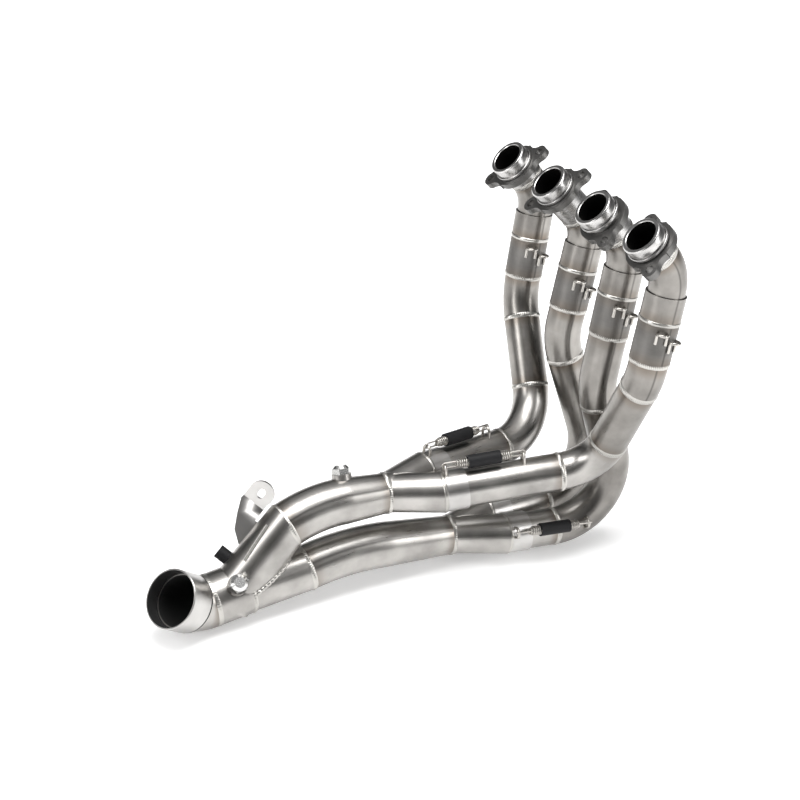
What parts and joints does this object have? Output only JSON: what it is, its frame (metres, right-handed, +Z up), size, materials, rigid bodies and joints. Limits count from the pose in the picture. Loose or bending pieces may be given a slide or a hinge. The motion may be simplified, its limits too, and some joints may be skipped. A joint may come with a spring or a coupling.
{
  "type": "motorcycle exhaust header",
  "caption": "Titanium exhaust header with port flanges, slip joints held by springs, paired merge junctions, a collector and a short outlet sleeve.",
  "frame": {"origin": "on the floor, under the middle of the part", "axes": "+X to the right of the motorcycle, +Y forward, +Z up"},
  "size_m": [0.3164, 0.5401, 0.3944],
  "materials": {
    "tube": "satin titanium with a faint straw tint beside the welds",
    "machined": "turned bright titanium",
    "flange": "dark matte blasted",
    "polished": "brushed, bright",
    "plug": "bright",
    "wire": "bright drawn wire",
    "weld": "bright weld bead",
    "rubber": "matte black"
  },
  "bodies": {
    "root": {"port_spigot_1": "machined", "port_spigot_2": "machined", "port_spigot_3": "machined", "port_spigot_4": "machined", "port_flange_1": "flange", "port_flange_2": "flange", "port_flange_3": "flange", "port_flange_4": "flange", "head_elbow_1": "tube", "head_elbow_2": "tube", "head_elbow_3": "tube", "head_elbow_4": "tube", "slip_sleeve_1": "tube", "slip_sleeve_2": "tube", "slip_sleeve_3": "tube", "slip_sleeve_4": "tube", "hook_tube_1": "tube", "hook_tube_2": "tube", "hook_tube_3": "tube", "hook_tube_4": "tube", "upper_bend_1": "tube", "upper_bend_2": "tube", "upper_bend_3": "tube", "upper_bend_4": "tube", "mid_tube_1": "tube", "mid_tube_4": "tube", "lower_bend_1": "tube", "lower_bend_2": "tube", "lower_bend_3": "tube", "lower_bend_4": "tube", "slip_tube_1": "tube", "slip_tube_2": "tube", "slip_tube_3": "tube", "slip_tube_4": "tube", "slip_socket_1": "tube", "slip_socket_2": "tube", "slip_socket_3": "tube", "slip_socket_4": "tube", "junction_14": "tube", "junction_23": "tube", "secondary_tube_14": "tube", "secondary_tube_23": "tube", "collector": "tube", "collector_neck": "tube", "exit_sleeve": "polished", "hanger_bracket": "tube", "sensor_boss": "tube", "sensor_plug": "plug", "side_boss": "tube", "side_plug": "plug", "gas_tap_plug": "rubber", "spring_1": "wire", "spring_2": "wire", "spring_3": "wire", "spring_4": "wire", "spring_covers": "rubber", "primary_hooks": "wire", "junction_hooks": "wire", "weld_beads": "weld"}
  },
  "joints": []
}
